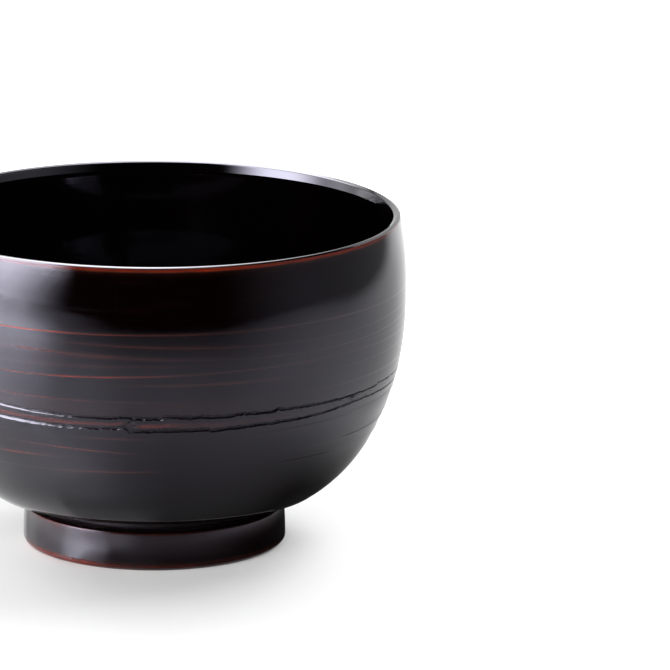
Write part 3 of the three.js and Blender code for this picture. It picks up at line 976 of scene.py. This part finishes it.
def dust(tree, place, scale, share):
    """Tiny specks near the points of a Voronoi pattern, in the share of its cells with most red."""
    cells = add_node(tree, "ShaderNodeTexVoronoi", inputs={"Vector": place, "Scale": scale})
    shades = add_node(tree, "ShaderNodeSeparateColor", inputs={"Color": cells.outputs["Color"]})
    chosen = add_math(tree, "GREATER_THAN", shades.outputs["Red"], 1 - share)
    speck = add_range(tree, cells.outputs["Distance"], 0.05, 0.09, 1.0, 0.0)
    return add_math(tree, "MULTIPLY", chosen, speck)


def brown_lacquer(look):
    """Polished brown-black lacquer: red where it is thin, and redder on the left where the thin attribute
    also paints the key light, matt where it is torn, faintly brushed.
    """
    material, tree, shader, place = new_lacquer("brown lacquer", look)
    thin = add_attribute(tree, "thin")
    torn = add_attribute(tree, "torn")
    strokes = add_noise(tree, stretched(tree, place, (60, 60, 1400)), 1.0, 4.0)
    clouds = add_noise(tree, place, 70.0)
    uneven = add_math(tree, "MULTIPLY", add_range(tree, strokes, 0.3, 0.7, 0.75, 1.25), thin)
    streaks = add_math(tree, "MULTIPLY", add_range(tree, strokes, 0.55, 0.75, 0.0, 0.05), clouds)
    share = add_math(tree, "ADD", uneven, streaks)
    stops = ((0.0, look.brown_black), (0.16, look.brown), (0.5, look.russet), (1.0, look.red))
    tree.links.new(add_ramp(tree, share, stops), shader.inputs["Base Color"])
    polish = add_range(tree, clouds, 0.3, 0.7, look.gloss * 0.8, look.gloss * 1.25)
    rough = add_math(tree, "ADD", polish, add_math(tree, "MULTIPLY", torn, 0.38))
    tree.links.new(rough, shader.inputs["Roughness"])
    peel = add_bump(tree, add_noise(tree, place, 420.0, 2.0), 0.35, 0.02 * MM)
    tree.links.new(add_bump(tree, strokes, 0.07, 0.02 * MM, peel), shader.inputs["Normal"])
    return material


def black_lacquer(look):
    """Polished black lacquer with a soft unevenness and a few specks of dust."""
    material, tree, shader, place = new_lacquer("black lacquer", look)
    specks = dust(tree, place, 230.0, 0.03)
    clouds = add_noise(tree, place, 60.0)
    depth = add_range(tree, clouds, 0.3, 0.7, 0.0, 0.4)
    stops = ((0.0, look.black), (0.5, look.brown_black), (1.0, (0.1, 0.1, 0.1)))
    share = add_math(tree, "MAXIMUM", depth, specks)
    tree.links.new(add_ramp(tree, share, stops), shader.inputs["Base Color"])
    polish = add_range(tree, clouds, 0.3, 0.7, look.gloss * 0.8, look.gloss * 1.25)
    tree.links.new(polish, shader.inputs["Roughness"])
    peel = add_bump(tree, add_noise(tree, place, 380.0, 2.0), 0.3, 0.02 * MM)
    tree.links.new(peel, shader.inputs["Normal"])
    return material


def red_lacquer(look):
    """Red lacquer, darker in clouds and where its attribute says that brown lacquer covers it; on the
    foot the attribute also paints light, reddest round the left where the key light falls.
    """
    material, tree, shader, place = new_lacquer("red lacquer", look)
    strokes = add_noise(tree, stretched(tree, place, (90, 90, 2200)), 1.0, 4.0)
    clouds = add_noise(tree, place, 160.0)
    uneven = add_range(tree, add_math(tree, "MULTIPLY", strokes, clouds), 0.1, 0.4, 0.65, 1.0)
    share = add_math(tree, "MULTIPLY", uneven, add_attribute(tree, "bare"))
    stops = ((0.0, look.brown_black), (0.2, look.brown), (0.5, look.russet), (1.0, look.red))
    tree.links.new(add_ramp(tree, share, stops), shader.inputs["Base Color"])
    polish = add_range(tree, clouds, 0.3, 0.7, look.gloss, look.gloss * 1.6)
    tree.links.new(polish, shader.inputs["Roughness"])
    tree.links.new(add_bump(tree, strokes, 0.2, 0.03 * MM), shader.inputs["Normal"])
    return material


def turned_wood(look):
    """Wood with its grain across the lathe axis, soaked dark with lacquer on the floor ring."""
    material, tree, shader, place = new_finish("turned wood", 0.55)
    grain = add_noise(tree, stretched(tree, place, (25, 420, 420)), 1.0, 5.0)
    wood = add_ramp(tree, grain, ((0.35, look.wood_grain), (0.62, look.wood)))
    height = add_node(tree, "ShaderNodeSeparateXYZ", inputs={"Vector": place}).outputs["Z"]
    soaked = add_range(tree, height, 0.2 * MM, 0.6 * MM, 0.96, 0.0)
    mixed = add_node(tree, "ShaderNodeMix", {"data_type": "RGBA"}, {"Factor": soaked})
    tree.links.new(wood, mixed.inputs["A"])
    mixed.inputs["B"].default_value = (*look.brown, 1)
    tree.links.new(mixed.outputs["Result"], shader.inputs["Base Color"])
    tree.links.new(add_range(tree, soaked, 0.0, 0.96, 0.6, 0.28), shader.inputs["Roughness"])
    tree.links.new(add_bump(tree, grain, 0.4, 0.04 * MM), shader.inputs["Normal"])
    return material


def glow_material(name, attribute):
    """Light as bright as the surface's own attribute says."""
    material = bpy.data.materials.new(name)
    material.use_nodes = True
    tree = material.node_tree
    tree.nodes.clear()
    light = add_node(tree, "ShaderNodeEmission", inputs={"Strength": add_attribute(tree, attribute)})
    add_node(tree, "ShaderNodeOutputMaterial", inputs={"Surface": light.outputs[0]})
    return material


def seen_in_gloss(item):
    """Only reflections see the item: the camera and the light on other surfaces don't."""
    item.visible_camera = False
    item.visible_diffuse = False
    item.visible_shadow = False
    item.visible_transmission = False


def patch_faces(shape, closed=False):
    """The quads of a grid of points, which may close on itself along its columns."""
    numbers = np.arange(shape[0] * shape[1]).reshape(shape)
    if closed:
        numbers = np.concatenate((numbers, numbers[:, :1]), axis=1)
    quads = np.stack((numbers[:-1, :-1], numbers[:-1, 1:], numbers[1:, 1:], numbers[1:, :-1]), axis=-1)
    return quads.reshape(-1, 4), np.zeros((0, 3), int)


def build_panels(studio):
    """Two soft panels for the gloss: a bent one that stands on the left and a flat one above and behind.

    The left one lies on a cylinder of 1 m round the bowl. It fades out at its foot and at both ends. The
    other one fades out to the right.
    """
    degrees = np.linspace(KEY_START, KEY_END, 109)
    heights = np.concatenate((np.linspace(0.002, KEY_FINE, 38), np.linspace(0.36, KEY_TOP, 14)))[:, None]
    points = ring_points(np.ones_like(heights), heights, degrees * DEGREE)
    lift = 0.4 + 0.6 * climb(heights, 0.045, 0.12) - 0.15 * climb(heights, 0.16, 0.06)
    lift = lift + 0.4 * climb(heights, 0.115, 0.03) * (1 - climb(heights, 0.15, 0.02))
    fall = (1 - 0.82 * climb(-degrees, 70, 26)) * (1 - climb(-degrees, 130, 20))
    fall = fall * (1 - 0.55 * climb(-degrees, 103, 14))
    crisp = climb(heights, 0.115, 0.03) * (1 - 0.4 * climb(heights, 0.15, 0.06))
    ramp = fade(degrees, -35, 39 - 19 * crisp) ** (1.4 - 0.4 * crisp)
    glow = studio.key_glow * lift * ramp * fall
    key = put_mesh("key_panel", points.reshape(-1, 3), *patch_faces(glow.shape), {"glow": glow.ravel()})
    u, v = np.meshgrid(np.linspace(-1, 1, 25), np.linspace(-1, 1, 25), indexing="ij")
    points = np.array(TOP_MIDDLE) + np.stack((TOP_WIDTH * u, TOP_DEPTH * v, -TOP_DEPTH * v), axis=-1)
    glow = studio.top_glow * fade(u, 1, 0.5) * climb(u, -1, 0.2) * fade(np.abs(v), 1, 0.25)
    glow = glow * (1 - 0.87 * climb(v, 0.3, 0.35) * fade(u, 0.55, 0.3))
    top = put_mesh("top_panel", points.reshape(-1, 3), *patch_faces(glow.shape), {"glow": glow.ravel()})
    for panel in (key, top):
        panel.data.materials.append(glow_material(panel.name, "glow"))
        seen_in_gloss(panel)
    tree = top.data.materials[0].node_tree
    light = next(node for node in tree.nodes if node.type == "EMISSION")
    depth = add_node(tree, "ShaderNodeLightPath").outputs["Ray Depth"]
    first = add_math(tree, "LESS_THAN", depth, 1.5)
    shine = light.inputs["Strength"].links[0].from_socket
    tree.links.new(add_math(tree, "MULTIPLY", shine, first), light.inputs["Strength"])


def build_floor(studio):
    """A white floor that runs up into a white backdrop far away, and glows as a light table does.

    The camera sees it matt, and the bowl mirrors it as a polished table.
    """
    rise = np.linspace(-math.pi / 2, 0, 12)
    sweep = SWEEP_BEND * np.stack((np.cos(rise), 1 + np.sin(rise)), axis=1) + (SWEEP_START, 0)
    flat = np.stack((np.geomspace(0.01, FLOOR_FLAT, 24), np.zeros(24)), axis=1)
    top = (SWEEP_START + SWEEP_BEND, BACKDROP_TOP)
    grid = turned(np.concatenate((flat, sweep, [top]))[::-1], columns_round(72))
    quads, triangles = patch_faces(grid.shape[:2], closed=True)
    floor = put_mesh("floor", grid.reshape(-1, 3), quads, triangles)
    material, tree, shader, place = new_finish("floor", studio.table_gloss)
    shader.inputs["Base Color"].default_value = (*studio.floor_white, 1)
    shader.inputs["Emission Color"].default_value = (1, 1, 1, 1)
    rays = add_node(tree, "ShaderNodeLightPath").outputs
    polish = add_math(tree, "MULTIPLY", rays["Is Glossy Ray"], 0.5)
    tree.links.new(polish, shader.inputs["Specular IOR Level"])
    seen = add_math(tree, "MAXIMUM", rays["Is Camera Ray"], rays["Is Glossy Ray"])
    seen = add_math(tree, "MAXIMUM", seen, rays["Is Transmission Ray"])
    far = add_node(tree, "ShaderNodeVectorMath", {"operation": "LENGTH"}, {0: place}).outputs["Value"]
    glow = add_range(tree, far, 0.15, 0.7, studio.floor_glow, 1.0)
    nearby = add_range(tree, far, 0.04, 0.45, studio.floor_glow, 1.0)
    direct = add_math(tree, "MULTIPLY", rays["Is Camera Ray"], nearby)
    glow = add_math(tree, "MAXIMUM", glow, direct)
    tree.links.new(add_math(tree, "MULTIPLY", seen, glow), shader.inputs["Emission Strength"])
    floor.data.materials.append(material)


def painted_shadow_under_bowl(degrees, radius, round_front):
    """Painted shadow for reflections: how dark the sheet is under the bowl, where the bowl shades the
    floor, on the left, at the front and on the right in turn.
    """
    left = 0.85 * fade(radius, 0.056, 0.024)
    left = left * (1 - 0.8 * (fade(degrees, -38, 6) + 1 - round_front))
    front = 0.91 * np.exp(-(radius - 0.03) / 0.042)
    right = 0.97 * fade(radius, 0.112, 0.068)
    ahead = climb(degrees, -23, 34) * round_front
    aside = climb(degrees, 8, 60) * round_front
    under = (left * (1 - ahead) + front * ahead) * (1 - aside) + right * aside
    edge = fade(radius, 0.0465, 0.008) * (1 - climb(degrees, -12, 20) * round_front)
    return under * (1 - 0.4 * edge)


def painted_shade_outside(degrees, radius, lying, points):
    """Painted shade of the unlit studio: how dark the sheet is further out, more towards the front, and
    past a straight edge on the right.
    """
    turn = climb(degrees, 20, 60)
    left = fade(degrees, 0, 30)
    start = 0.11 + 0.15 * turn + 0.03 * left
    end = 0.385 + 0.2 * turn + 0.04 * left
    arc = climb(degrees, -60, 45 - 20 * climb(radius, 0.43, 0.4))
    arc = np.where(lying, arc, climb(degrees, -30, 14))
    front = np.clip((radius - start) / (end - start), 0, 1) * arc
    past_edge = points[..., 0] - (0.375 + 0.25 * points[..., 1])
    side = climb(past_edge, -0.12, 0.26) * (1 - climb(degrees, 145, 20))
    aside = climb(degrees, 68, 38)
    return front * (1 - aside) + side * aside


def build_painted_light_veil():
    """A sheet of painted shade and painted reflection on the floor, which only reflections see: it paints
    the unlit studio past the table's edges.

    It paints the bowl's shadow under the bowl, grows dark towards the front, and starts at a straight
    edge on the right.
    From the front round to the right it stands up at its end. On the right it glows dimly, most where it
    stands up, a painted reflection of the room.
    Near the bowl on the left it shines with a painted reflection of the left panel in a polished table.
    """
    degrees = np.linspace(-180, 180, 180, endpoint=False)[None, :]
    fine = np.linspace(VEIL_INNER, VEIL_FINE, 30)
    flat = np.concatenate((fine, np.linspace(VEIL_FINE + VEIL_GAP, VEIL_OUTER, 60)))
    radius = np.concatenate((flat, np.full(12, VEIL_OUTER + VEIL_GAP)))[:, None]
    standing = np.linspace(VEIL_FOOT, VEIL_TOP, 12)
    height = np.concatenate((np.full(len(flat), VEIL_LIFT), standing))[:, None]
    points = ring_points(radius, height, degrees[0] * DEGREE)
    lying = height < VEIL_FOOT
    round_front = 1 - climb(degrees, 150, 30)
    # Painted shade: the sheet is a little darker towards the back on both sides.
    behind = 0.2 * (climb(degrees, 75, 40) + climb(-degrees, 120, 30)) * climb(radius, 0.05, 0.05)
    clear = (1 - painted_shadow_under_bowl(degrees, radius, round_front)) * (1 - behind * lying)
    clear = clear * (1 - painted_shade_outside(degrees, radius, lying, points))
    # Painted reflection: a dim glow of the room on the right, stronger where the sheet stands up.
    grey = climb(radius, 0.12, 0.1) * climb(degrees, 26, 45) * round_front
    grey = grey * (0.28 + 1.2 * climb(height, 0.13, 0.53))
    # Painted reflection: near the bowl on the left the sheet shines with the left panel, as a polished
    # table would mirror it.
    painted_shine_share = 0.45 * fade(degrees, -6, 26) * (1 - climb(-degrees, 75, 25))
    painted_shine_share = painted_shine_share * climb(radius, 0.046, 0.026) * (1 - climb(radius, 0.2, 0.25))
    shine = 2.2 + 3 * climb(-degrees, 35, 30) * climb(radius, 0.08, 0.06)
    cover = 1 - clear * (1 - painted_shine_share)
    grey = (grey * (1 - clear) + shine * painted_shine_share * clear) / np.maximum(cover, 0.001)
    values = {"cover": cover.ravel(), "grey": grey.ravel()}
    painted_light_veil = put_mesh("painted_light_veil", points.reshape(-1, 3), *patch_faces(cover.shape, closed=True), values)
    material = glow_material("painted_light_veil", "grey")
    tree = material.node_tree
    dark = next(node for node in tree.nodes if node.type == "EMISSION")
    output = next(node for node in tree.nodes if node.type == "OUTPUT_MATERIAL")
    share = add_attribute(tree, "cover")
    glass = add_node(tree, "ShaderNodeBsdfTransparent").outputs[0]
    mixed = add_node(tree, "ShaderNodeMixShader", inputs={0: share, 1: glass, 2: dark.outputs[0]})
    tree.links.new(mixed.outputs[0], output.inputs["Surface"])
    painted_light_veil.data.materials.append(material)
    seen_in_gloss(painted_light_veil)


def build_camera(form, studio):
    """A camera in front of the bowl, turned until the bowl's middle lies on its pixel of the picture."""
    middle = Vector((0, 0, form.height / 2))
    lift = studio.view_elevation
    place = middle + studio.view_distance * Vector((0, -math.cos(lift), math.sin(lift)))
    lens = bpy.data.cameras.new("camera")
    lens.sensor_width = 36
    lens.lens = studio.focal_pixels / studio.frame_pixels * lens.sensor_width
    lens.clip_end = 100
    camera = bpy.data.objects.new("camera", lens)
    camera.location = place
    half = studio.frame_pixels / 2
    sight = Vector((studio.aim_across - half, half - studio.aim_down, -studio.focal_pixels)).normalized()
    facing = (middle - place).to_track_quat("-Z", "Y")
    camera.rotation_mode = "QUATERNION"
    camera.rotation_quaternion = facing @ sight.rotation_difference(Vector((0, 0, -1)))
    bpy.context.scene.collection.objects.link(camera)
    bpy.context.scene.camera = camera


def build_lights(form, studio):
    """Soft lamps that reflections leave out, the panels that the gloss mirrors, and a dim room."""
    middle = Vector((0, 0, form.height / 2))
    for spec in LAMPS:
        light = bpy.data.lights.new(spec.name, "AREA")
        light.size = spec.side
        light.energy = spec.power
        lamp = bpy.data.objects.new(spec.name, light)
        lamp.location = spec.place
        lamp.rotation_euler = (middle - Vector(spec.place)).to_track_quat("-Z", "Y").to_euler()
        lamp.visible_glossy = False
        bpy.context.scene.collection.objects.link(lamp)
    build_panels(studio)
    world = bpy.data.worlds.new("studio")
    world.use_nodes = True
    world.node_tree.nodes["Background"].inputs["Color"].default_value = ROOM_COLOUR
    bpy.context.scene.world = world


class LACQUERBOWL_OT_stage(Operator):
    """Make the camera, the light, the floor and the sheet of painted shade and reflection"""

    bl_idname = "lacquer_bowl.stage"
    bl_label = "Studio"

    def execute(self, context):
        settings = context.scene.lacquer_bowl
        context.scene.view_settings.view_transform = "Standard"
        build_camera(settings.form, settings.studio)
        build_lights(settings.form, settings.studio)
        build_floor(settings.studio)
        build_painted_light_veil()
        return {"FINISHED"}


class LACQUERBOWL_OT_outer_coat(Operator):
    """Make the brown-black coat of the outside with its torn grooves"""

    bl_idname = "lacquer_bowl.outer_coat"
    bl_label = "Outer coat"

    def execute(self, context):
        build_outer_coat(context.scene.lacquer_bowl)
        return {"FINISHED"}


class LACQUERBOWL_OT_red_coat(Operator):
    """Make the red coat that shows on the foot and under the lip"""

    bl_idname = "lacquer_bowl.red_coat"
    bl_label = "Red coat"

    def execute(self, context):
        build_red_coat(context.scene.lacquer_bowl)
        return {"FINISHED"}


class LACQUERBOWL_OT_black_coats(Operator):
    """Make the black coats of the inside and of the foot's hollow"""

    bl_idname = "lacquer_bowl.black_coats"
    bl_label = "Black coats"

    def execute(self, context):
        build_inner_coat(context.scene.lacquer_bowl)
        build_hollow_coat(context.scene.lacquer_bowl)
        return {"FINISHED"}


class LACQUERBOWL_OT_core(Operator):
    """Make the turned wood below the coats"""

    bl_idname = "lacquer_bowl.core"
    bl_label = "Turned wood"

    def execute(self, context):
        build_core(context.scene.lacquer_bowl)
        return {"FINISHED"}


class LACQUERBOWL_PT_panel(Panel):
    """The bowl's steps in the sidebar"""

    bl_idname = "LACQUERBOWL_PT_panel"
    bl_label = "Lacquered soup bowl"
    bl_space_type = "VIEW_3D"
    bl_region_type = "UI"
    bl_category = "Bowl"

    def draw(self, context):
        for step in STEPS:
            self.layout.operator(step.bl_idname)


GROUPS = (BowlForm, CoatForm, LacquerLook, Studio, BowlSettings)
STEPS = (
    LACQUERBOWL_OT_stage,
    LACQUERBOWL_OT_outer_coat,
    LACQUERBOWL_OT_red_coat,
    LACQUERBOWL_OT_black_coats,
    LACQUERBOWL_OT_core,
)
CLASSES = (*GROUPS, *STEPS, LACQUERBOWL_PT_panel)


def register():
    """Register the classes and give the scene its settings."""
    for kind in CLASSES:
        bpy.utils.register_class(kind)
    settings = PointerProperty(name="Soup bowl", description="Settings", type=BowlSettings)
    bpy.types.Scene.lacquer_bowl = settings


def unregister():
    """Take the settings and the classes away again."""
    del bpy.types.Scene.lacquer_bowl
    for kind in reversed(CLASSES):
        bpy.utils.unregister_class(kind)


def main():
    register()
    bpy.ops.lacquer_bowl.stage()
    bpy.ops.lacquer_bowl.outer_coat()
    bpy.ops.lacquer_bowl.red_coat()
    bpy.ops.lacquer_bowl.black_coats()
    bpy.ops.lacquer_bowl.core()


if __name__ == "__main__":
    main()
